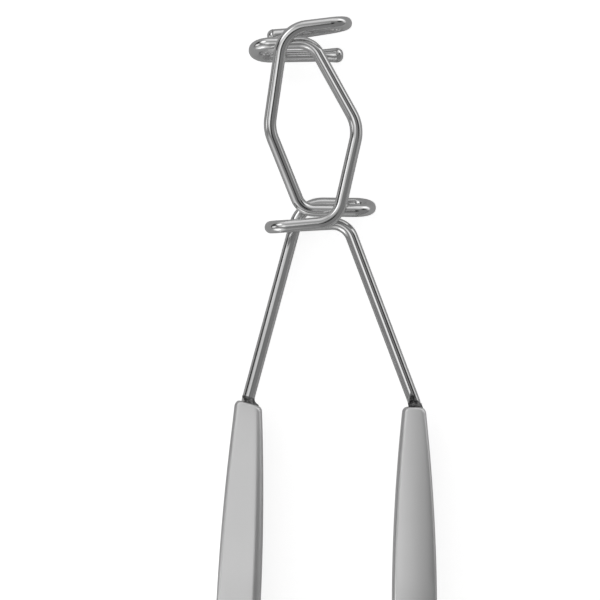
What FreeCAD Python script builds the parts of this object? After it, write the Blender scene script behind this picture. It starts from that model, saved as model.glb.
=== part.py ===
import FreeCAD, Part
import math
import os

# Eye speculum with two wire blades on forceps handles, in millimetres.
# It is laid out flat: X runs across the handles, Y along them towards the wire tips,
# Z up from the table. Lengths below are measured from the end of the handles that
# holds the wire, and heights from the level half way up the handles. At the end
# everything is moved so that the origin is the middle of the underside.

Vector = FreeCAD.Vector

# Wire
WIRE_DIAMETER = 1.2
WIRE_GAP = 0.15
END_BEAD_DIAMETER = 1.42
END_BEAD_LENGTH = 1.1
END_BEAD_ROUND = 0.42
LOOP_DEPTH = 3.0
RIGHT_WAIST_LIFT = 0.75
RIGHT_TOP_LIFT = 0.75
BOW_RADIUS = 3.6
MOUTH_RADIUS = 1.5
MOUTH_RISE = 0.3
MOUTH_OFFSET = 0.07

# Left blade: where its straight runs would meet, and the radius of each bend
LEFT_ARM_CORNER_X = -3.36
LEFT_ARM_CORNER_Y = 19.33
LEFT_ARM_RADIUS = 2.7
LEFT_WAIST_REACH = 3.25
LEFT_WAIST_BACK_Y = 19.42
LEFT_WAIST_FRONT_Y = 18.70
LEFT_WAIST_CORNER_X = -3.29
LEFT_WAIST_CORNER_Y = 18.60
LEFT_WAIST_RADIUS = 1.8
LEFT_BOW_X = -6.60
LEFT_BOW_Y = 26.29
LEFT_TOP_CORNER_X = -5.45
LEFT_TOP_CORNER_Y = 35.83
LEFT_TOP_RADIUS = 2.9
LEFT_HOOK_REACH = 0.52
LEFT_HOOK_FRONT_Y = 36.70
LEFT_HOOK_BACK_Y = 36.55
LEFT_FREE_END_X = -6.45
LEFT_FREE_END_Y = 35.27

# Right blade
RIGHT_ARM_CORNER_X = 1.06
RIGHT_ARM_CORNER_Y = 17.53
RIGHT_ARM_RADIUS = 2.0
RIGHT_WAIST_REACH = -6.20
RIGHT_WAIST_BACK_Y = 16.98
RIGHT_WAIST_FRONT_Y = 16.85
RIGHT_WAIST_CORNER_X = 0.10
RIGHT_WAIST_CORNER_Y = 17.57
RIGHT_WAIST_RADIUS = 2.4
RIGHT_BOW_X = 1.97
RIGHT_BOW_Y = 26.76
RIGHT_TOP_CORNER_X = -2.68
RIGHT_TOP_CORNER_Y = 34.71
RIGHT_TOP_RADIUS = 2.0
RIGHT_HOOK_REACH = -8.15
RIGHT_HOOK_FRONT_Y = 34.42
RIGHT_HOOK_BACK_Y = 33.39
RIGHT_FREE_END_X = -0.18
RIGHT_FREE_END_Y = 33.72

# Handles
TOP_SPREAD = 7.95
GRIP_SPREAD = 8.45
LEFT_TOP_WIDTH = 2.55
RIGHT_TOP_WIDTH = 2.15
GRIP_WIDTH = 4.2
LEG_THICKNESS = 1.1
TOP_DEPTH = 3.0
GRIP_DEPTH = 7.0
HEEL_DEPTH = 6.0
FLAT_GRIND = 0.05
TAPER_LENGTH = 20.0
GRIP_LENGTH = 18.0
THINNING_LENGTH = 20.0
LEG_LENGTH = 22.0
HEEL_LENGTH = 8.0
TOP_EDGE_RADIUS = 0.5
GRIP_EDGE_RADIUS = 0.9
LEG_EDGE_RADIUS = 0.35
END_CHAMFER = 0.38
LEFT_END_SLOPE = 14.0
RIGHT_END_SLOPE = 0.0
HEEL_CORNER_RADIUS = 2.2

# Joints of the handles with the wire and with each other
SOCKET_DEPTH = 4.0
BRAZE_GAP = 0.02
BRAZE_HEIGHT = 0.7
BRAZE_THICKNESS = 0.24
BRAZE_LIP = 0.04
HEEL_SPACER = 1.6

# The cross-sections that shape a handle lie about this far apart
SECTION_SPACING = 2.5

leg_start = TAPER_LENGTH + GRIP_LENGTH + THINNING_LENGTH
heel_start = leg_start + LEG_LENGTH
handle_length = heel_start + HEEL_LENGTH
heel_spread = (HEEL_SPACER + LEG_THICKNESS) / 2
mouth_spread = TOP_SPREAD + MOUTH_OFFSET
unground_depth = GRIP_DEPTH + 2 * FLAT_GRIND
wire_radius = WIRE_DIAMETER / 2
passing_height = WIRE_DIAMETER + WIRE_GAP


def straight_and_bent_path(corners, radii):
    """Straight runs between corners, each inner corner rounded by a tangent arc."""
    edges = []
    start = corners[0]
    for before, corner, after, radius in zip(corners, corners[1:], corners[2:], radii):
        back = (before - corner).normalize()
        ahead = (after - corner).normalize()
        half_angle = back.getAngle(ahead) / 2
        middle_way = (back + ahead).normalize()
        arc_start = corner + back * (radius / math.tan(half_angle))
        arc_end = corner + ahead * (radius / math.tan(half_angle))
        centre = corner + middle_way * (radius / math.sin(half_angle))
        arc_middle = centre - middle_way * radius
        edges.append(Part.LineSegment(start, arc_start).toShape())
        edges.append(Part.Arc(arc_start, arc_middle, arc_end).toShape())
        start = arc_end
    edges.append(Part.LineSegment(start, corners[-1]).toShape())
    return Part.Wire(edges)


def round_wire(path, radius):
    """A round bar that follows the path from its first point."""
    first = path.OrderedEdges[0]
    start = first.valueAt(first.FirstParameter)
    direction = first.tangentAt(first.FirstParameter)
    section = Part.Wire(Part.makeCircle(radius, start, direction))
    return path.makePipeShell([section], True, False)


def end_bead(centre, direction):
    """The swelled end of a wire: a short barrel with rounded rims."""
    start = centre - direction * (END_BEAD_LENGTH / 2)
    barrel = Part.makeCylinder(END_BEAD_DIAMETER / 2, END_BEAD_LENGTH, start, direction)
    rims = [edge for edge in barrel.Edges if len(edge.Vertexes) == 1]
    return barrel.makeFillet(END_BEAD_ROUND, rims)


def blade(corners, radii):
    """One blade: a single bent wire whose free end is swelled into a blunt bead."""
    bar = round_wire(straight_and_bent_path(corners, radii), wire_radius)
    bead = end_bead(corners[-1], (corners[-1] - corners[-2]).normalize())
    return bar.fuse(bead).removeSplitter()


def ease_out(share):
    """Rises from 0 to 1 and arrives level, as a long ground taper does."""
    return 1 - (1 - share) ** 2


def ease_both(share):
    """Rises from 0 to 1, level at both ends."""
    return share * share * (3 - 2 * share)


def share_between(station, start, length):
    return min(max((station - start) / length, 0.0), 1.0)


def handle_value(station, top, grip, leg):
    """A size of the handle's section at a distance from its wire end."""
    if station <= TAPER_LENGTH:
        return top + (grip - top) * ease_out(share_between(station, 0.0, TAPER_LENGTH))
    thinning = share_between(station, TAPER_LENGTH + GRIP_LENGTH, THINNING_LENGTH)
    return grip + (leg - grip) * ease_both(thinning)


def handle_depth(station):
    """The section's height before the two flat sides of the grip are ground."""
    if station <= TAPER_LENGTH:
        return handle_value(station, TOP_DEPTH, unground_depth, unground_depth)
    narrowing = share_between(station, leg_start, LEG_LENGTH)
    return unground_depth + (HEEL_DEPTH - unground_depth) * ease_both(narrowing)


def handle_offset(station):
    """How far the middle of a handle lies from the centre plane: bowed, then in to the heel."""
    lean = (GRIP_SPREAD - TOP_SPREAD) / TAPER_LENGTH
    if station <= TAPER_LENGTH:
        return TOP_SPREAD + lean * station
    run = heel_start - TAPER_LENGTH
    share = share_between(station, TAPER_LENGTH, run)
    lean_part = share * (1 - share) ** 2 * run * lean
    return GRIP_SPREAD + (heel_spread - GRIP_SPREAD) * ease_both(share) + lean_part


def rounded_section(offset, station, width, depth, radius):
    """A rectangle with rounded corners, square to Y."""
    half_x = width / 2
    half_z = depth / 2
    inner_x = half_x - radius
    inner_z = half_z - radius
    slant = radius * math.sqrt(0.5)

    def at(x, z):
        return Vector(offset + x, -station, z)

    edges = []
    for turn_x, turn_z in ((1, 1), (-1, 1), (-1, -1), (1, -1)):
        side = at(turn_x * half_x, turn_z * inner_z)
        corner = at(turn_x * (inner_x + slant), turn_z * (inner_z + slant))
        end = at(turn_x * inner_x, turn_z * half_z)
        arc = [side, corner, end] if turn_x == turn_z else [end, corner, side]
        edges.append(Part.Arc(*arc).toShape())
        if turn_x == turn_z:
            edges.append(Part.LineSegment(end, at(-turn_x * inner_x, turn_z * half_z)).toShape())
        else:
            edges.append(Part.LineSegment(side, at(turn_x * half_x, -turn_z * inner_z)).toShape())
    return Part.Wire(edges)


def handle_section(side, station, top_width):
    """The handle's cross-section at a distance from its wire end."""
    width = handle_value(station, top_width, GRIP_WIDTH, LEG_THICKNESS)
    radius = handle_value(station, TOP_EDGE_RADIUS, GRIP_EDGE_RADIUS, LEG_EDGE_RADIUS)
    return rounded_section(side * handle_offset(station), station, width, handle_depth(station), radius)


def handle_stretch(side, start, length, top_width):
    """The stretch of a handle between two stations, as one smooth loft."""
    count = max(round(length / SECTION_SPACING), 1)
    stations = [start + length * number / count for number in range(count + 1)]
    sections = [handle_section(side, station, top_width) for station in stations]
    return Part.makeLoft(sections, True, count == 1)


def slab(low_y, high_y, depth):
    """A flat plate across both handles, centred on their mid height."""
    reach = GRIP_SPREAD + GRIP_WIDTH
    return Part.makeBox(2 * reach, high_y - low_y, depth, Vector(-reach, low_y, -depth / 2))


def rounded_heel_end():
    """What the heel keeps: a plate whose two far corners are rounded in the side view."""
    plate = slab(-handle_length, -heel_start, HEEL_DEPTH)
    far_edges = []
    for edge in plate.Edges:
        across = abs(edge.tangentAt(edge.FirstParameter).x) > 0.9
        if across and abs(edge.CenterOfMass.y + handle_length) < HEEL_LENGTH / 2:
            far_edges.append(edge)
    return plate.makeFillet(HEEL_CORNER_RADIUS, far_edges)


def end_cutter(side, slope):
    """Everything beyond a handle's wire end, which is ground at a slope and chamfered round."""
    size = 4 * GRIP_WIDTH
    block = Part.makeBox(size, size, size, Vector(-size / 2, 0, -size / 2))
    block.rotate(Vector(0, 0, 0), Vector(0, 0, 1), -slope)
    block.translate(Vector(side * TOP_SPREAD, 0, 0))
    return block


def handle_bar(side, end_slope, top_width):
    """A solid tapered bar that thins to a spring leg, with its wire end chamfered all round."""
    over = top_width * math.tan(math.radians(end_slope))
    taper = handle_stretch(side, -over, TAPER_LENGTH + over, top_width)
    grip = handle_stretch(side, TAPER_LENGTH, GRIP_LENGTH + THINNING_LENGTH, top_width)
    leg = handle_stretch(side, leg_start, LEG_LENGTH, top_width)
    heel = handle_stretch(side, heel_start, HEEL_LENGTH, top_width).common(rounded_heel_end())
    bar = taper.fuse([grip, leg, heel]).cut(end_cutter(side, end_slope))
    bar = bar.common(slab(-handle_length, GRIP_WIDTH, GRIP_DEPTH)).removeSplitter()
    end_face = max(bar.Faces, key=lambda face: face.CenterOfMass.y)
    return bar.makeChamfer(END_CHAMFER, end_face.Edges)


def handle(side, bar):
    """One handle: the bar with the bore that holds the wire."""
    mouth = Vector(side * mouth_spread, GRIP_WIDTH, 0)
    bore = Part.makeCylinder(wire_radius + BRAZE_GAP, GRIP_WIDTH + SOCKET_DEPTH, mouth, Vector(0, -1, 0))
    return bar.cut(bore)


def braze(bar, corners, wire):
    """The hollow-cheeked fillet of braze round the wire where it leaves its handle."""
    mouth = corners[1]
    direction = (corners[2] - mouth).normalize()
    foot = wire_radius + BRAZE_THICKNESS
    lip = wire_radius + BRAZE_LIP
    below = -BRAZE_HEIGHT
    hollow = Vector((foot + 3 * lip) / 4, 0, BRAZE_HEIGHT / 3)
    outline = Part.Wire([
        Part.LineSegment(Vector(0, 0, BRAZE_HEIGHT), Vector(0, 0, below)).toShape(),
        Part.LineSegment(Vector(0, 0, below), Vector(foot, 0, below)).toShape(),
        Part.LineSegment(Vector(foot, 0, below), Vector(foot, 0, 0)).toShape(),
        Part.Arc(Vector(foot, 0, 0), hollow, Vector(lip, 0, BRAZE_HEIGHT)).toShape(),
        Part.LineSegment(Vector(lip, 0, BRAZE_HEIGHT), Vector(0, 0, BRAZE_HEIGHT)).toShape(),
    ])
    fillet = Part.Face(outline).revolve(Vector(0, 0, 0), Vector(0, 0, 1), 360)
    fillet.Placement = FreeCAD.Placement(
        mouth - direction * MOUTH_RISE, FreeCAD.Rotation(Vector(0, 0, 1), direction)
    )
    return fillet.cut(bar).cut(wire)


left_waist_back_z = (
    (RIGHT_WAIST_LIFT - LOOP_DEPTH / 2 - passing_height) * LEFT_ARM_CORNER_Y / RIGHT_WAIST_BACK_Y
)
left_waist_front_z = left_waist_back_z + LOOP_DEPTH
right_waist_back_z = RIGHT_WAIST_LIFT - LOOP_DEPTH / 2
right_waist_front_z = right_waist_back_z + LOOP_DEPTH
right_top_front_z = RIGHT_TOP_LIFT
right_top_back_z = right_top_front_z - LOOP_DEPTH
left_top_front_z = right_top_front_z + passing_height
left_top_back_z = left_top_front_z - LOOP_DEPTH
turn_radius = 0.98 * LOOP_DEPTH / 2

left_corners = [
    Vector(-mouth_spread, -SOCKET_DEPTH, 0),
    Vector(-mouth_spread, MOUTH_RISE, 0),
    Vector(LEFT_ARM_CORNER_X, LEFT_ARM_CORNER_Y, left_waist_back_z),
    Vector(LEFT_WAIST_REACH, LEFT_WAIST_BACK_Y, left_waist_back_z),
    Vector(LEFT_WAIST_REACH, LEFT_WAIST_FRONT_Y, left_waist_front_z),
    Vector(LEFT_WAIST_CORNER_X, LEFT_WAIST_CORNER_Y, left_waist_front_z),
    Vector(LEFT_BOW_X, LEFT_BOW_Y, left_top_front_z),
    Vector(LEFT_TOP_CORNER_X, LEFT_TOP_CORNER_Y, left_top_front_z),
    Vector(LEFT_HOOK_REACH, LEFT_HOOK_FRONT_Y, left_top_front_z),
    Vector(LEFT_HOOK_REACH, LEFT_HOOK_BACK_Y, left_top_back_z),
    Vector(LEFT_FREE_END_X, LEFT_FREE_END_Y, left_top_back_z),
]
left_radii = [
    MOUTH_RADIUS, LEFT_ARM_RADIUS, turn_radius, turn_radius, LEFT_WAIST_RADIUS,
    BOW_RADIUS, LEFT_TOP_RADIUS, turn_radius, turn_radius,
]
right_corners = [
    Vector(mouth_spread, -SOCKET_DEPTH, 0),
    Vector(mouth_spread, MOUTH_RISE, 0),
    Vector(RIGHT_ARM_CORNER_X, RIGHT_ARM_CORNER_Y, right_waist_back_z),
    Vector(RIGHT_WAIST_REACH, RIGHT_WAIST_BACK_Y, right_waist_back_z),
    Vector(RIGHT_WAIST_REACH, RIGHT_WAIST_FRONT_Y, right_waist_front_z),
    Vector(RIGHT_WAIST_CORNER_X, RIGHT_WAIST_CORNER_Y, right_waist_front_z),
    Vector(RIGHT_BOW_X, RIGHT_BOW_Y, right_top_front_z),
    Vector(RIGHT_TOP_CORNER_X, RIGHT_TOP_CORNER_Y, right_top_front_z),
    Vector(RIGHT_HOOK_REACH, RIGHT_HOOK_FRONT_Y, right_top_front_z),
    Vector(RIGHT_HOOK_REACH, RIGHT_HOOK_BACK_Y, right_top_back_z),
    Vector(RIGHT_FREE_END_X, RIGHT_FREE_END_Y, right_top_back_z),
]
right_radii = [
    MOUTH_RADIUS, RIGHT_ARM_RADIUS, turn_radius, turn_radius, RIGHT_WAIST_RADIUS,
    BOW_RADIUS, RIGHT_TOP_RADIUS, turn_radius, turn_radius,
]

spacer = Part.makeBox(
    HEEL_SPACER, HEEL_LENGTH, HEEL_DEPTH,
    Vector(-HEEL_SPACER / 2, -handle_length, -HEEL_DEPTH / 2),
)
left_blade = blade(left_corners, left_radii)
right_blade = blade(right_corners, right_radii)
left_bar = handle_bar(-1, LEFT_END_SLOPE, LEFT_TOP_WIDTH)
right_bar = handle_bar(1, RIGHT_END_SLOPE, RIGHT_TOP_WIDTH)
parts = {
    "left_blade": left_blade,
    "right_blade": right_blade,
    "left_handle": handle(-1, left_bar),
    "right_handle": handle(1, right_bar),
    "left_braze": braze(left_bar, left_corners, left_blade),
    "right_braze": braze(right_bar, right_corners, right_blade),
    "heel_spacer": spacer.common(rounded_heel_end()),
}

# Stand it on the table, with the origin in the middle of its underside
box = Part.makeCompound(list(parts.values())).BoundBox
to_origin = Vector(0, -(box.YMin + box.YMax) / 2, GRIP_DEPTH / 2)
os.makedirs("parts", exist_ok=True)
for name, solid in parts.items():
    solid.translate(to_origin)
    solid.exportStep("parts/" + name + ".step")
    print(name, solid.isValid(), len(solid.Solids), round(solid.Volume, 2))
print("moved by", to_origin)
print("box", Part.makeCompound(list(parts.values())).BoundBox)
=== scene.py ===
# %% [markdown]
# An eye speculum holds the eyelids apart. This one has two thin wire blades on two
# slender steel handles, and it lies flat on a table. The first cell loads the solids
# that were made in CAD. They are the fixed frame: every piece made here takes its
# place from them.

# %% Load the solids
import math
import bmesh
import bpy
from mathutils import Matrix, Vector


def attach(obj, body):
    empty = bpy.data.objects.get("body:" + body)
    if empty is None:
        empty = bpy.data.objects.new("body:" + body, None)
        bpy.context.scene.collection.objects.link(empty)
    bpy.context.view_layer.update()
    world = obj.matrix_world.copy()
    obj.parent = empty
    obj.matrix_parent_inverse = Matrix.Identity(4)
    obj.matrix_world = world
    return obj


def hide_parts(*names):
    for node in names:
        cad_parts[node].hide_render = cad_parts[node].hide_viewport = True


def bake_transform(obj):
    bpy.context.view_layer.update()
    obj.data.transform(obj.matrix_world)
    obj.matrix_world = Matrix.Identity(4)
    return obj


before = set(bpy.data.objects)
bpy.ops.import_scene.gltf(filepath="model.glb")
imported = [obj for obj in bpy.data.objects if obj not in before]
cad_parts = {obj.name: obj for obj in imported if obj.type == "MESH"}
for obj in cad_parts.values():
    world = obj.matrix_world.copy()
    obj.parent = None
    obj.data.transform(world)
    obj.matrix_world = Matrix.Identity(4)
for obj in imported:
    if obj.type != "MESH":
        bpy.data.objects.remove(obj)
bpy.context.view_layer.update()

print("solids:", sorted(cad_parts))

# %% [markdown]
# The sizes below are the ones of the solids, in millimetres. Only small roundings
# differ from them, those of the beads, of the handles' edges and of their wire ends.
# Lengths are counted from the end of the handles that holds the wire, and heights from
# the level half way up the handles, as one would measure the real instrument. One small
# function turns such a place into Blender's metres in the frame of the solids. Points
# that are closer together than TOUCHING, which is in metres, count as one.

# %% Sizes and places
MILLIMETRE = 0.001
ZERO_Y = 25.3815
MID_HEIGHT = 3.5
WIRE_RADIUS = 0.6
BEAD_RADIUS = 0.71
BEAD_LENGTH = 1.1
BEAD_ROUND = 0.6
LOOP_DEPTH = 3.0
PASSING = 1.35
MOUTH_SPREAD = 8.02
BORE_DEPTH, MOUTH_RISE = 4.0, 0.3
TOUCHING = 1e-7


def place(x, y, z):
    """A point of the instrument, given in millimetres, as a point of the scene."""
    return Vector((x, y + ZERO_Y, z + MID_HEIGHT)) * MILLIMETRE


def ease_both(share):
    """Goes from 0 to 1, slowly at the start and at the end."""
    return share * share * (3 - 2 * share)


print("handle ends at y =", round(place(0, 0, 0).y, 5), "m")

# %% [markdown]
# Each blade is one wire that was bent over pins in a jig. The jig is described by the
# points where its straight runs would meet, and by the radius of each bend. Back and
# front strands lie three millimetres apart in height, so that a lid fits between them,
# and the left blade passes over the right one with a hair of room. Further back its
# arm has to pass under: where it is level with the right waist it lies one passing
# distance lower, and it goes on down to its own waist. A loop turns over with a radius
# a little under half its depth.

# %% The two wires as bending lists
BOW_HEIGHT = 0.75
LEFT_WAIST, RIGHT_WAIST = 19.33, 16.98
TURN_SHARE = 0.98
left_back = (BOW_HEIGHT - LOOP_DEPTH / 2 - PASSING) * LEFT_WAIST / RIGHT_WAIST
left_front = left_back + LOOP_DEPTH
right_back = BOW_HEIGHT - LOOP_DEPTH / 2
right_front = right_back + LOOP_DEPTH
right_top = BOW_HEIGHT
left_top = right_top + PASSING
turn = TURN_SHARE * LOOP_DEPTH / 2

left_corners = [
    place(-MOUTH_SPREAD, -BORE_DEPTH, 0), place(-MOUTH_SPREAD, MOUTH_RISE, 0),
    place(-3.36, LEFT_WAIST, left_back), place(3.25, 19.42, left_back),
    place(3.25, 18.70, left_front), place(-3.29, 18.60, left_front),
    place(-6.60, 26.29, left_top), place(-5.45, 35.83, left_top),
    place(0.52, 36.70, left_top), place(0.52, 36.55, left_top - LOOP_DEPTH),
    place(-6.45, 35.27, left_top - LOOP_DEPTH),
]
left_bends = [1.5, 2.7, turn, turn, 1.8, 3.6, 2.9, turn, turn]
right_corners = [
    place(MOUTH_SPREAD, -BORE_DEPTH, 0), place(MOUTH_SPREAD, MOUTH_RISE, 0),
    place(1.06, 17.53, right_back), place(-6.20, RIGHT_WAIST, right_back),
    place(-6.20, 16.85, right_front), place(0.10, 17.57, right_front),
    place(1.97, 26.76, right_top), place(-2.68, 34.71, right_top),
    place(-8.15, 34.42, right_top), place(-8.15, 33.39, right_top - LOOP_DEPTH),
    place(-0.18, 33.72, right_top - LOOP_DEPTH),
]
right_bends = [1.5, 2.0, turn, turn, 2.4, 3.6, 2.0, turn, turn]
print(len(left_bends), "bends in the left wire,", len(right_bends), "in the right one")

# %% [markdown]
# A wire could be a curve with a round bevel. Here it is grown ring by ring instead,
# as the jig does it: a ring of edges is pulled along a straight run, then turned about
# the centre of the bend in small steps, then pulled again. The bends come out as true
# arcs. Every ring also stores how far it has travelled and where on the round each of
# its points lies, so that the drawing marks can follow the wire later.

# %% Growing a wire from a ring
WIRE_SIDES = 48
BEND_STEP = math.radians(5)
SWELL_START, SWELL_END = -0.9, 0.5
SWELL_STEPS, ROUND_STEPS = 8, 9


def grow(mesh, ring, travelled):
    """Adds one more ring after this one, and returns its edges and points."""
    made = bmesh.ops.extrude_edge_only(mesh, edges=ring)["geom"]
    points = [part for part in made if isinstance(part, bmesh.types.BMVert)]
    known = set(points)
    edges = [part for part in made
             if isinstance(part, bmesh.types.BMEdge) and known.issuperset(part.verts)]
    layer = mesh.verts.layers.float_vector["unrolled"]
    for point in points:
        around = point[layer]
        point[layer] = Vector((around.x, around.y, travelled))
    return edges, points


def first_ring(mesh, centre, direction):
    """The round section that the wire starts from, square to its first run."""
    layer = mesh.verts.layers.float_vector.new("unrolled")
    facing = Matrix.Translation(centre) @ direction.to_track_quat("Z", "Y").to_matrix().to_4x4()
    points = bmesh.ops.create_circle(
        mesh, cap_ends=False, segments=WIRE_SIDES,
        radius=WIRE_RADIUS * MILLIMETRE, matrix=facing,
    )["verts"]
    for number, point in enumerate(points):
        angle = 2 * math.pi * number / WIRE_SIDES
        point[layer] = Vector((math.cos(angle), math.sin(angle), 0)) * WIRE_RADIUS * MILLIMETRE
    return list({edge for point in points for edge in point.link_edges})


def bend(mesh, ring, travelled, corner, back, ahead, radius):
    """Turns the ring round one bend in small steps."""
    middle_way = (back + ahead).normalized()
    half_angle = back.angle(ahead) / 2
    centre = corner + middle_way * (radius / math.sin(half_angle))
    axis = ahead.cross(back).normalized()
    whole = math.pi - 2 * half_angle
    steps = max(math.ceil(whole / BEND_STEP), 2)
    turned = Matrix.Rotation(whole / steps, 3, axis)
    for step in range(steps):
        travelled += radius * whole / steps
        ring, points = grow(mesh, ring, travelled)
        bmesh.ops.rotate(mesh, cent=centre, matrix=turned, verts=points)
    return ring, travelled


def bead_rings():
    """Where each ring of the bead lies, and its radius: a slow swell, then a round end."""
    rings = []
    for step in range(SWELL_STEPS + 1):
        share = step / SWELL_STEPS
        along_bead = SWELL_START + (SWELL_END - SWELL_START) * share
        swell = (BEAD_RADIUS - WIRE_RADIUS) * ease_both(share)
        rings.append((BEAD_LENGTH * along_bead, WIRE_RADIUS + swell))
    core = BEAD_RADIUS - BEAD_ROUND
    for step in range(ROUND_STEPS + 1):
        angle = math.pi / 2 * (1 - step / ROUND_STEPS)
        rings.append((BEAD_LENGTH - BEAD_ROUND * (1 - math.cos(angle)),
                      core + BEAD_ROUND * math.sin(angle)))
    rings.append((BEAD_LENGTH, core / 2))
    return rings


def close_bead(mesh, ring, travelled, start, direction):
    """Swells the last ring over the bead that keeps the wire's end blunt."""
    at, radius = bead_rings()[0]
    for along_bead, new_radius in bead_rings()[1:]:
        travelled += math.dist((at, radius), (along_bead, new_radius)) * MILLIMETRE
        ring, points = grow(mesh, ring, travelled)
        bmesh.ops.translate(mesh, vec=direction * (along_bead - at) * MILLIMETRE, verts=points)
        here = start + direction * along_bead * MILLIMETRE
        size = new_radius / radius
        bmesh.ops.scale(
            mesh, vec=(size, size, size), space=Matrix.Translation(-here), verts=points
        )
        at, radius = along_bead, new_radius
    bmesh.ops.pointmerge(mesh, verts=points, merge_co=start + direction * BEAD_LENGTH * MILLIMETRE)


def wire_mesh(corners, radii):
    """A whole blade: straight runs and bends in turn, then the bead."""
    mesh = bmesh.new()
    direction = (corners[1] - corners[0]).normalized()
    ring = first_ring(mesh, corners[0], direction)
    bmesh.ops.contextual_create(mesh, geom=ring)
    at, travelled = corners[0], 0.0
    for before, corner, after, radius in zip(corners, corners[1:], corners[2:], radii):
        radius = radius * MILLIMETRE
        back = (before - corner).normalized()
        ahead = (after - corner).normalized()
        cut_back = radius / math.tan(back.angle(ahead) / 2)
        run = corner + back * cut_back - at
        travelled += run.length
        ring, points = grow(mesh, ring, travelled)
        bmesh.ops.translate(mesh, vec=run, verts=points)
        ring, travelled = bend(mesh, ring, travelled, corner, back, ahead, radius)
        at = corner + ahead * cut_back
    bead_start = corners[-1] - ahead * (BEAD_LENGTH / 2) * MILLIMETRE
    run = bead_start + ahead * bead_rings()[0][0] * MILLIMETRE - at
    travelled += run.length
    ring, points = grow(mesh, ring, travelled)
    bmesh.ops.translate(mesh, vec=run, verts=points)
    close_bead(mesh, ring, travelled, bead_start, ahead)
    bmesh.ops.recalc_face_normals(mesh, faces=mesh.faces)
    print("wire length", round(travelled / MILLIMETRE, 1), "mm,", len(mesh.faces), "faces")
    return mesh


# %% [markdown]
# A finished mesh becomes a piece in one place, with its point of origin at the frame's
# origin, as the solids have. It then rides on a body of the solids and stands in for
# its solid.

# %% Making a piece
def new_piece(name, mesh):
    """Turns a bmesh into an object of the scene, smooth-shaded."""
    for face in mesh.faces:
        face.smooth = True
    data = bpy.data.meshes.new(name)
    mesh.to_mesh(data)
    mesh.free()
    piece = bpy.data.objects.new(name, data)
    bpy.context.collection.objects.link(piece)
    return piece


left_wire = new_piece("left_wire", wire_mesh(left_corners, left_bends))
right_wire = new_piece("right_wire", wire_mesh(right_corners, right_bends))
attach(left_wire, "left_arm")
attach(right_wire, "right_arm")
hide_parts("left_blade")
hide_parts("right_blade")
print("wires:", left_wire.name, right_wire.name)

# %% [markdown]
# A handle is a forged bar. It is widest and flat-sided where the fingers hold it,
# tapers to the wire, and thins the other way to a springy leg that ends in a flat
# heel. These functions say how wide, how deep and how round-edged it is at any
# distance from its wire end, so that each slice can be asked for its size.

# %% The shape of a handle along its length
TAPER, GRIP, THINNING, LEG, HEEL = 20.0, 18.0, 20.0, 22.0, 8.0
LEG_START = TAPER + GRIP + THINNING
HEEL_START = LEG_START + LEG
BAR_END = HEEL_START + HEEL
TOP_SPREAD, GRIP_SPREAD, HEEL_SPREAD = 7.95, 8.45, 1.35
TOP_WIDTHS, GRIP_WIDTH, LEG_WIDTH = {-1: 2.55, 1: 2.15}, 4.2, 1.1
TOP_DEPTH, FORGED_DEPTH, GROUND_DEPTH, HEEL_LOSS = 3.0, 7.1, 7.0, 1.1
BROAD_EDGE, CRISP_EDGE = (0.55, 0.9, 0.35), (0.40, 0.38, 0.3)
HEEL_ROUND = 2.2
END_CORNER, END_EDGE = 0.5, 0.18


def ease_out(share):
    """Goes from 0 to 1, fast at the start and slowly at the end."""
    return 1 - (1 - share) ** 2


def share_of(station, start, length):
    """How much of a stretch of the bar lies behind a station, from 0 to 1."""
    return min(max((station - start) / length, 0.0), 1.0)


def along(station, top, grip, leg):
    """A size that goes from the wire end's value to the grip's and on to the leg's."""
    if station <= TAPER:
        return top + (grip - top) * ease_out(station / TAPER)
    return grip + (leg - grip) * ease_both(share_of(station, TAPER + GRIP, THINNING))


def end_inset(station, radius):
    """How far a surface draws in where it rounds over to the end face."""
    if station >= radius:
        return 0.0
    return radius - math.sqrt(radius ** 2 - (radius - station) ** 2)


def bar_width(side, station):
    """The right handle is ground slimmer at its wire end than the left one."""
    full = along(station, TOP_WIDTHS[side], GRIP_WIDTH, LEG_WIDTH)
    return full - 2 * end_inset(station, END_CORNER)


def edge_radius(side, sign_x, station):
    """The left bar's inner edges are rounded broadly, all the others are crisp."""
    return along(station, *(BROAD_EDGE if side < 0 < sign_x else CRISP_EDGE))


def bar_depth(station):
    """Height of a slice. The grip's two flat sides are ground, and the heel is rounded."""
    if station <= TAPER:
        forged = along(station, TOP_DEPTH, FORGED_DEPTH, FORGED_DEPTH)
        return min(forged, GROUND_DEPTH) - 2 * end_inset(station, END_EDGE)
    forged = FORGED_DEPTH - HEEL_LOSS * ease_both(share_of(station, LEG_START, LEG))
    depth = min(forged, GROUND_DEPTH)
    into_round = station - (BAR_END - HEEL_ROUND)
    if into_round > 0:
        depth -= 2 * (HEEL_ROUND - math.sqrt(max(HEEL_ROUND ** 2 - into_round ** 2, 0)))
    return depth


def bar_offset(station):
    """How far the middle of a slice lies from the gap's middle plane."""
    slant = (GRIP_SPREAD - TOP_SPREAD) / TAPER
    if station <= TAPER:
        return TOP_SPREAD + slant * station
    run = HEEL_START - TAPER
    share = share_of(station, TAPER, run)
    bow = share * (1 - share) ** 2 * run * slant
    return GRIP_SPREAD + (HEEL_SPREAD - GRIP_SPREAD) * ease_both(share) + bow


for station in (0.0, TAPER, TAPER + GRIP, LEG_START, HEEL_START, BAR_END):
    size = round(bar_width(-1, station), 2), round(bar_depth(station), 2)
    print("width and depth at", station, "mm:", size)

# %% [markdown]
# The bar starts as one square face whose corners are bevelled round. Its outline is
# extruded from slice to slice. At each slice the four rounded corners are scaled about
# their own centres and moved, so the edges stay true arcs however the bar narrows. The
# slices close up at the wire end, where the sides round over to the end face.

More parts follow.
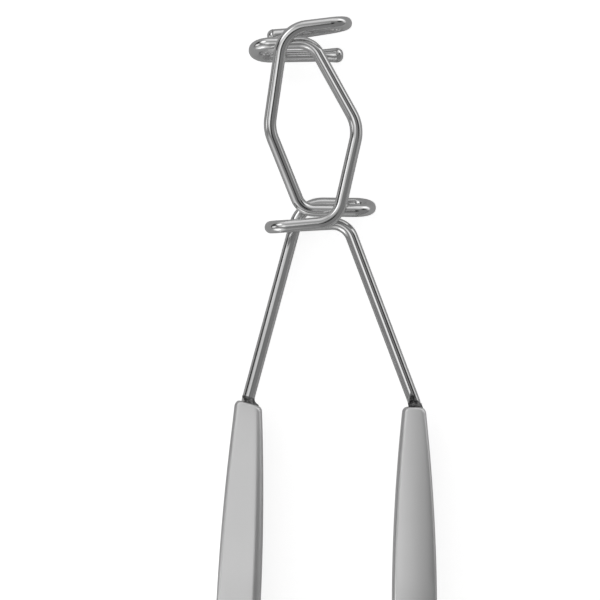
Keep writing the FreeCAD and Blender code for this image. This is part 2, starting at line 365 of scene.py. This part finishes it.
# %% Building a handle
SLICE = 1.0
HEEL_SLICE = 0.25
END_STATIONS = [0.0, 0.02, 0.05, 0.09, 0.14, 0.18, 0.26, 0.36, 0.5]
CORNER_STEPS = 8


def slice_frame(side, station):
    """Middle, half width, half depth and the two edge radii of a slice, in metres."""
    middle = place(side * bar_offset(station), -station, 0)
    half_width = bar_width(side, station) / 2 * MILLIMETRE
    half_depth = bar_depth(station) / 2 * MILLIMETRE
    radii = {sign_x: edge_radius(side, sign_x, station) * MILLIMETRE for sign_x in (-1, 1)}
    return middle, half_width, half_depth, radii


def corner_centre(slice_sizes, sign_x, sign_z):
    """The centre of the arc that rounds one corner of a slice."""
    middle, half_width, half_depth, radii = slice_sizes
    radius = radii[sign_x]
    across, high = half_width - radius, half_depth - radius
    return middle + Vector((sign_x * across, 0, sign_z * high))


def reshape(mesh, points, old, new):
    """Gives a ring of points the corners of the next slice."""
    middle, old_radii, new_radii = old[0], old[3], new[3]
    for sign_x in (-1, 1):
        for sign_z in (-1, 1):
            corner = [
                point for point in points
                if (point.co.x - middle.x) * sign_x > 0 and (point.co.z - middle.z) * sign_z > 0
            ]
            centre = corner_centre(old, sign_x, sign_z)
            size = new_radii[sign_x] / old_radii[sign_x]
            bmesh.ops.scale(
                mesh, vec=(size, size, size), space=Matrix.Translation(-centre), verts=corner
            )
            step = corner_centre(new, sign_x, sign_z) - centre
            bmesh.ops.translate(mesh, vec=step, verts=corner)


def bar_stations():
    """Where the slices lie: close together where an end is rounded, else SLICE apart."""
    stations = END_STATIONS + [SLICE * number for number in range(1, int(BAR_END - HEEL_ROUND))]
    last = stations[-1]
    rest = math.ceil((BAR_END - last) / HEEL_SLICE)
    return stations + [last + (BAR_END - last) * number / rest for number in range(1, rest + 1)]


def handle_mesh(side, slope, crown, lean):
    """A whole handle. The slope of its end and the lean of its shading are in degrees."""
    mesh = bmesh.new()
    stations = bar_stations()
    sizes = slice_frame(side, stations[0])
    middle, half_width, half_depth, radii = sizes
    upright = Matrix.Translation(middle) @ Matrix.Rotation(math.radians(90), 4, "X")
    stretch = Matrix.Diagonal((half_width, half_depth, 1, 1))
    points = bmesh.ops.create_grid(
        mesh, x_segments=1, y_segments=1, size=1, matrix=upright @ stretch
    )["verts"]
    for sign_x in (-1, 1):
        bmesh.ops.bevel(
            mesh, geom=[point for point in points if (point.co.x - middle.x) * sign_x > 0],
            offset=radii[sign_x], affect="VERTICES", segments=CORNER_STEPS,
            profile=0.5, material=-1,
        )
        points = [point for point in points if point.is_valid]
    ring = list(mesh.edges)
    for station in stations[1:]:
        made = bmesh.ops.extrude_edge_only(mesh, edges=ring)["geom"]
        points = [part for part in made if isinstance(part, bmesh.types.BMVert)]
        known = set(points)
        ring = [part for part in made
                if isinstance(part, bmesh.types.BMEdge) and known.issuperset(part.verts)]
        new_sizes = slice_frame(side, station)
        reshape(mesh, points, sizes, new_sizes)
        sizes = new_sizes
    bmesh.ops.contextual_create(mesh, geom=ring)
    grind(mesh, side, slope, crown, lean)
    bmesh.ops.recalc_face_normals(mesh, faces=mesh.faces)
    print("handle:", len(stations), "slices,", len(mesh.faces), "faces")
    return mesh


# %% [markdown]
# Then the bar goes to the grinder. Its broad sides are divided lengthwise into strips,
# and the right bar's get a slight crown, about a tenth of a millimetre high. The left
# bar's end face is ground to a slope, which pushes the points near it forwards or back.
# The lean is another matter, and moves no point. In the photograph the left bar is
# evenly lighter than a flat side looks in this studio. Why is unknown, so the finish
# tips its shading to match, and every point keeps the height that such a lean would
# give it.

# %% Grinding a handle
STRIPS = 8
END_REACH = 3.0


def grind(mesh, side, slope, crown, lean):
    """Crowns the broad sides, slopes the end face, and notes the lean of the shading."""
    across_flats = [
        edge for edge in mesh.edges
        if abs(edge.verts[0].co.y - edge.verts[1].co.y) < TOUCHING
        and abs(edge.verts[0].co.z - edge.verts[1].co.z) < TOUCHING
    ]
    bmesh.ops.subdivide_edges(mesh, edges=across_flats, cuts=STRIPS - 1, use_grid_fill=True)
    lean_height = mesh.verts.layers.float.new("lean")
    start = place(0, 0, 0)
    for point in mesh.verts:
        station = (start.y - point.co.y) / MILLIMETRE
        middle, half_width = slice_frame(side, max(station, 0.0))[:2]
        out = point.co.x - middle.x
        drop = crown * half_width * (out / half_width) ** 2
        point.co.z -= math.copysign(drop, point.co.z - start.z)
        nearness = max(1 - station / END_REACH, 0.0)
        point.co.y -= math.tan(math.radians(slope)) * out * nearness ** 2
        point[lean_height] = math.tan(math.radians(lean)) * out
    print("strips on the broad sides:", len(across_flats), "edges divided")


left_bar = new_piece("left_bar", handle_mesh(-1, slope=14, crown=0.0, lean=8))
right_bar = new_piece("right_bar", handle_mesh(1, slope=0, crown=0.057, lean=1.5))
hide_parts("left_handle")
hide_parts("right_handle")

# %% [markdown]
# When the handles are squeezed their legs bend, and the heel stays as it is. The solid
# turns at a hinge in its place. Here each bar's place is baked into its points; it
# rides on no body and doesn't bend. A weighted normal modifier keeps the flat sides
# flat next to their rounded edges.

# %% The handles' flat sides
for side, bar, body in ((-1, left_bar, "left_arm"), (1, right_bar, "right_arm")):
    place(side * HEEL_SPREAD, -HEEL_START, 0)
    place(side * HEEL_SPREAD, -LEG_START, 0)
    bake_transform(bar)
    even = bar.modifiers.new("flat sides stay flat", "WEIGHTED_NORMAL")
    even.mode = "FACE_AREA"
    even.weight = 80
    print(bar.name, "bends between the heel and", body)

# %% [markdown]
# The wire is held in its bore with hard solder. A little of it stands out of the mouth
# as a hollow-cheeked collar, dull and dark. Its profile is a few points that are spun
# round the wire. The solder ran into the narrow side of the lean, where the wire stands
# over the end face, so the foot of the collar is moved that way and the lip stays. On
# the right side the lip is level with the end face, and a pointed tongue of solder
# crept up the top of the wire.

# %% Solder at the mouth of each bore
SOLDER_LIP = WIRE_RADIUS + 0.02
SOLDER_BELOW = 0.45
SOLDER_OVER_WIRE = 0.06
HOLLOW_STEPS, HOLLOW_POWER = 6, 2.2
SOLDER_SIDES = 48
TONGUE_HALF_WIDTH = 0.5


def solder_mesh(corners, foot, lean, height, level, tongue):
    """A collar that widens to its foot. Its lip is square to the wire, or level if level is 1."""
    mesh = bmesh.new()
    direction = (corners[2] - corners[1]).normalized()
    base = corners[1] - direction * MOUTH_RISE * MILLIMETRE
    outline = [(foot, -SOLDER_BELOW), (foot, 0.0)]
    for step in range(1, HOLLOW_STEPS + 1):
        share = step / HOLLOW_STEPS
        cheek = (foot - SOLDER_LIP) * (1 - share) ** HOLLOW_POWER
        outline.append((SOLDER_LIP + cheek, height * share))
    inside = WIRE_RADIUS - SOLDER_OVER_WIRE
    outline += [(inside, height), (inside, -SOLDER_BELOW)]
    points = [
        mesh.verts.new((across * MILLIMETRE, 0, up * MILLIMETRE)) for across, up in outline
    ]
    edges = [mesh.edges.new(pair) for pair in zip(points, points[1:] + points[:1])]
    bmesh.ops.spin(
        mesh, geom=points + edges, cent=(0, 0, 0), axis=(0, 0, 1), dvec=(0, 0, 0),
        angle=2 * math.pi, steps=SOLDER_SIDES, use_merge=True,
    )
    bmesh.ops.remove_doubles(mesh, verts=mesh.verts, dist=TOUCHING)
    facing = Matrix.Translation(base) @ direction.to_track_quat("Z", "Y").to_matrix().to_4x4()
    bmesh.ops.transform(mesh, matrix=facing, verts=mesh.verts)
    for point in mesh.verts:
        from_base = (point.co - base) / MILLIMETRE
        up = from_base.dot(direction)
        out = from_base - direction * up
        high = min(max(up / height, 0.0), 1.0)
        off_top = math.hypot(out.x, out.y) / TONGUE_HALF_WIDTH
        peak = max(1 - off_top, 0.0) if out.z > 0 else 0.0
        rise = tongue * peak - level * out.y / direction.y
        push = Vector((lean * (1 - high) ** 2, 0, 0)) + direction * high * rise
        bmesh.ops.translate(mesh, vec=push * MILLIMETRE, verts=[point])
    bmesh.ops.recalc_face_normals(mesh, faces=mesh.faces)
    print("solder collar:", len(mesh.faces), "faces")
    return mesh


left_collar = solder_mesh(left_corners, foot=0.80, lean=0.36, height=0.58, level=0, tongue=0)
right_collar = solder_mesh(right_corners, foot=0.70, lean=-0.10, height=0.38, level=1, tongue=1.2)
left_solder = new_piece("left_solder", left_collar)
right_solder = new_piece("right_solder", right_collar)
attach(left_solder, "left_arm")
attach(right_solder, "right_arm")
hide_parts("left_braze")
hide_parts("right_braze")

# %% [markdown]
# Materials are trees of nodes. Two small classes make them readable. A Signal is a
# value on its way through the tree, and ordinary sums and products of signals add the
# Math nodes. A Finish holds one tree, and its only way to add any other node is one
# method that takes the node's kind, its settings and what goes into it. Three short
# functions after them write what every finish has: noise, greys, and the metal itself.

# %% Writing node trees as expressions
class Signal:
    """The output of a node. Sums, differences and products of signals are Math nodes."""

    def __init__(self, finish, socket):
        self.finish = finish
        self.socket = socket

    def maths(self, operation, first, second):
        return self.finish.add("ShaderNodeMath", {"operation": operation}, {0: first, 1: second})

    def __add__(self, other):
        return self.maths("ADD", self, other)

    def __radd__(self, other):
        return self.maths("ADD", other, self)

    def __sub__(self, other):
        return self.maths("SUBTRACT", self, other)

    def __rsub__(self, other):
        return self.maths("SUBTRACT", other, self)

    def __mul__(self, other):
        return self.maths("MULTIPLY", self, other)

    def __rmul__(self, other):
        return self.maths("MULTIPLY", other, self)


class Finish:
    """A node tree, of a material or of the world."""

    def __init__(self, owner):
        owner.use_nodes = True
        self.tree = owner.node_tree
        self.tree.nodes.clear()

    def add(self, kind, settings=None, inputs=None, output=0):
        """Adds a node: settings first, then its sockets' values or links."""
        node = self.tree.nodes.new(kind)
        for name, value in (settings or {}).items():
            if name == "stops":
                for number, (position, colour) in enumerate(value):
                    if number >= len(node.color_ramp.elements):
                        node.color_ramp.elements.new(position)
                    node.color_ramp.elements[number].position = position
                    node.color_ramp.elements[number].color = colour
            else:
                setattr(node, name, value)
        for name, value in (inputs or {}).items():
            if isinstance(value, Signal):
                self.tree.links.new(value.socket, node.inputs[name])
            else:
                node.inputs[name].default_value = value
        if not node.outputs:
            return None
        return Signal(self, node.outputs[output])


def grey(level):
    """A neutral colour."""
    return (level, level, level, 1.0)


def noise(finish, vector, scale, detail, roughness):
    """Soft random spots. A large scale makes small ones."""
    return finish.add("ShaderNodeTexNoise", {"noise_dimensions": "3D"}, {
        "Vector": vector, "Scale": scale, "Detail": detail, "Roughness": roughness,
    })


def tones(finish, value, dark, light):
    """Greys between two stops, each a position on the value and a tone."""
    stops = [(position, grey(tone)) for position, tone in (dark, light)]
    return finish.add("ShaderNodeValToRGB", {"stops": stops}, {"Fac": value})


def metal(finish, colour, metallic, roughness, normal):
    """Ends a tree with a metal surface."""
    shader = finish.add("ShaderNodeBsdfPrincipled", {}, {
        "Base Color": colour, "Metallic": metallic, "Roughness": roughness, "Normal": normal,
    })
    finish.add("ShaderNodeOutputMaterial", {}, {"Surface": shader})


print("node tools ready")

# %% [markdown]
# The wire is stainless steel, drawn through a die and then polished. It is bright
# like a mirror at arm's length. Close by, fine marks run along it from the die, and
# it is a touch hazier in some places than in others. The marks read the coordinates
# that the rings stored, stretched a hundred times along the wire.

# %% Polished wire
polished = bpy.data.materials.new("polished_wire")
finish = Finish(polished)
unrolled = finish.add("ShaderNodeAttribute", {"attribute_name": "unrolled"}, output="Vector")
stretched = finish.add("ShaderNodeMapping", {"vector_type": "POINT"},
                       {"Vector": unrolled, "Scale": (9000, 9000, 90)})
marks = noise(finish, stretched, scale=1.0, detail=3.0, roughness=0.6)
place_on_piece = finish.add("ShaderNodeTexCoord", output="Object")
haze = noise(finish, place_on_piece, scale=420.0, detail=2.0, roughness=0.5)
relief = finish.add("ShaderNodeBump", {},
                    {"Height": marks, "Strength": 0.12, "Distance": 0.00002})
metal(finish, tones(finish, haze, dark=(0.25, 0.71), light=(0.75, 0.77)), 1.0,
      roughness=0.09 + haze * 0.06 + marks * 0.03, normal=relief)
for wire in (left_wire, right_wire):
    wire.data.materials.append(polished)
print("material:", polished.name)

# %% [markdown]
# The handles have a satin finish: steel ground lengthwise with fine grit, so they
# spread light instead of mirroring it. The grit's lines are far finer than a tenth of
# a millimetre across and several millimetres long. Handling leaves the finish a
# little brighter in some places. The stored lean tips the shading of a whole broad side,
# by eight degrees on the left bar and one and a half on the right one. It is a stand-in
# that was tuned to the tones of the photograph, and the metal itself doesn't lean. The
# heel spacer is the solid itself, with the same finish.

# %% Satin handles
satin = bpy.data.materials.new("satin_steel")
finish = Finish(satin)
place_on_piece = finish.add("ShaderNodeTexCoord", output="Object")
grit_way = finish.add("ShaderNodeMapping", {"vector_type": "POINT"},
                      {"Vector": place_on_piece, "Scale": (11000, 160, 11000)})
grit = noise(finish, grit_way, scale=1.0, detail=4.0, roughness=0.65)
handled = noise(finish, place_on_piece, scale=130.0, detail=2.0, roughness=0.5)
lean = finish.add("ShaderNodeAttribute", {"attribute_name": "lean"}, output="Fac")
leaning = finish.add("ShaderNodeBump", {}, {"Height": lean, "Strength": 1.0, "Distance": 1.0})
relief = finish.add("ShaderNodeBump", {},
                    {"Height": grit, "Strength": 0.25, "Distance": 0.00001, "Normal": leaning})
metal(finish, tones(finish, handled, dark=(0.3, 0.76), light=(0.7, 0.81)), 1.0,
      roughness=0.34 + handled * 0.06 + grit * 0.06, normal=relief)
for bar in (left_bar, right_bar):
    bar.data.materials.append(satin)
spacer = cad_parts["heel_spacer"]
spacer.data.materials.clear()
spacer.data.materials.append(satin)
print("material:", satin.name)

# %% [markdown]
# Solder that was melted with a torch goes dull and dark. Its colour is mottled, and
# its surface has small lumps and pits.

# %% Dark solder
solder = bpy.data.materials.new("dark_solder")
finish = Finish(solder)
place_on_piece = finish.add("ShaderNodeTexCoord", output="Object")
mottle = noise(finish, place_on_piece, scale=2600.0, detail=4.0, roughness=0.6)
relief = finish.add("ShaderNodeBump", {},
                    {"Height": mottle, "Strength": 0.6, "Distance": 0.00006})
metal(finish, tones(finish, mottle, dark=(0.38, 0.02), light=(0.62, 0.26)), 0.9,
      roughness=0.30 + mottle * 0.2, normal=relief)
for collar in (left_solder, right_solder):
    collar.data.materials.append(solder)
print("material:", solder.name)

# %% [markdown]
# The photograph looks straight down from about forty centimetres. The camera stands
# over the picture's middle and is turned by a little over one degree, as the
# instrument lies a little askew in it.

# %% Camera
CAMERA_HEIGHT = 0.4
PICTURE_WIDTH = 0.0576
PICTURE_MIDDLE = (-3.239, 10.006)
ASKEW = 1.366
lens = bpy.data.cameras.new("camera")
lens.angle = 2 * math.atan(PICTURE_WIDTH / 2 / CAMERA_HEIGHT)
lens.clip_start = 0.01
lens.clip_end = 20
camera = bpy.data.objects.new("camera", lens)
camera.location = place(*PICTURE_MIDDLE, CAMERA_HEIGHT / MILLIMETRE)
camera.rotation_euler = (0, 0, math.radians(ASKEW))
bpy.context.collection.objects.link(camera)
bpy.context.scene.camera = camera
print("camera at", [round(value, 4) for value in camera.location])

# %% [markdown]
# Bare metal shows little but its surroundings, so the studio is painted into the
# world by direction. The room is a dim grey. Eight soft boxes stand in it: most are on
# the left and beyond the tips, one is nearly overhead, and one is behind the handles on
# the left. Three black flags take light away, low on the left, half way up on the
# right, and above the handles. Their places were found by fitting the bands that the
# photograph shows on the wires and handles, so this is a stand-in for a room that
# isn't known. A camera ray that misses everything sees plain white.

# %% Studio
ROOM_TONE, DARKEST_TONE = 0.224, 0.03
world = bpy.data.worlds.new("studio")
bpy.context.scene.world = world
studio = Finish(world)
toward = studio.add("ShaderNodeTexCoord", output="Generated")


def sky_direction(azimuth, elevation):
    """A direction, with azimuth counted from +X towards +Y, in degrees."""
    flat = math.cos(math.radians(elevation))
    return (flat * math.cos(math.radians(azimuth)), flat * math.sin(math.radians(azimuth)),
            math.sin(math.radians(elevation)))


def soft_box(azimuth, elevation, inner, outer):
    """1 inside a round patch of the studio, fading to 0 at its rim, in degrees."""
    closeness = studio.add("ShaderNodeVectorMath", {"operation": "DOT_PRODUCT"},
                           {0: toward, 1: sky_direction(azimuth, elevation)}, output="Value")
    return studio.add("ShaderNodeMapRange", {"interpolation_type": "SMOOTHSTEP"},
                      {"Value": closeness, "From Min": math.cos(math.radians(outer)),
                       "From Max": math.cos(math.radians(inner)), "To Min": 0.0, "To Max": 1.0})


# each row: azimuth, elevation, how far out it is even and where it ends, strength
soft_boxes = [
    (150, 65, 8, 28, 0.50), (195, 80, 5, 18, 0.58),
    (135, 35, 5, 18, 1.42), (75, 5, 20, 60, 0.67),
    (45, 5, 8, 28, 0.60), (15, 5, 5, 18, 0.53),
    (180, 20, 5, 18, 0.98), (240, 20, 12, 40, 0.57),
]
black_flags = [(165, 5, 8, 28, 0.44), (30, 35, 5, 18, 0.30), (330, 80, 5, 18, 0.29)]
room = ROOM_TONE
for azimuth, elevation, inner, outer, strength in soft_boxes:
    room = room + soft_box(azimuth, elevation, inner, outer) * strength
for azimuth, elevation, inner, outer, strength in black_flags:
    room = room - soft_box(azimuth, elevation, inner, outer) * strength
room = room.maths("MAXIMUM", room, DARKEST_TONE)
seen = studio.add("ShaderNodeLightPath", output="Is Camera Ray")
level = studio.add("ShaderNodeMix", {"data_type": "FLOAT"},
                   {"Factor": seen, "A": room, "B": 1.0})
shine = studio.add("ShaderNodeBackground", {}, {"Color": grey(1.0), "Strength": level})
studio.add("ShaderNodeOutputWorld", {}, {"Surface": shine})
print("studio world ready")

# %% [markdown]
# A pale card stands close by on the left, beside the handles. It is much nearer to the
# left handle than to the right one, which is why the left one looks lighter, and it
# brightens the rounded edges on that side. It is an area lamp, as weak as a card is.

# %% Card beside the handles
CARD_HEIGHT, CARD_LENGTH, CARD_RADIANCE = 0.044, 0.075, 0.8
CARD_PLACE, CARD_TILT = (-46, -62, 28), -62
card_light = bpy.data.lights.new("card", "AREA")
card_light.shape = "RECTANGLE"
card_light.size = CARD_HEIGHT
card_light.size_y = CARD_LENGTH
card_light.energy = CARD_RADIANCE * math.pi * CARD_HEIGHT * CARD_LENGTH
card = bpy.data.objects.new("card", card_light)
card.location = place(*CARD_PLACE)
card.rotation_euler = (0, math.radians(CARD_TILT), 0)
bpy.context.collection.objects.link(card)
print("card of", round(card_light.energy, 5), "W")

# %% [markdown]
# The table is a plain white sheet, much larger than the picture. For camera rays a
# part of its white is added as a steady glow, so that the ground is as white as in the
# photograph while the instrument's soft shadow stays on it. What the metal mirrors of
# the sheet gets very little of that glow.

# %% Table
SHEET_REACH = 2.0
SHEET_TONE, SEEN_GLOW, MIRRORED_GLOW = 0.65, 0.77, 0.03
sheet = bmesh.new()
bmesh.ops.create_grid(sheet, x_segments=1, y_segments=1, size=SHEET_REACH)
data = bpy.data.meshes.new("table")
sheet.to_mesh(data)
sheet.free()
table = bpy.data.objects.new("table", data)
bpy.context.collection.objects.link(table)
white = bpy.data.materials.new("white_table")
finish = Finish(white)
seen = finish.add("ShaderNodeLightPath", output="Is Camera Ray")
mirrored = finish.add("ShaderNodeLightPath", output="Is Glossy Ray")
matte = finish.add("ShaderNodeBsdfDiffuse", {}, {"Color": grey(SHEET_TONE)})
strength = seen * SEEN_GLOW + mirrored * MIRRORED_GLOW
glow = finish.add("ShaderNodeEmission", {}, {"Color": grey(1.0), "Strength": strength})
both = finish.add("ShaderNodeAddShader", {}, {0: matte, 1: glow})
finish.add("ShaderNodeOutputMaterial", {}, {"Surface": both})
table.data.materials.append(white)
print("table ready")

# %% [markdown]
# The last cell sets the plain view transform.

# %% Finish
bpy.context.scene.view_settings.view_transform = "Standard"
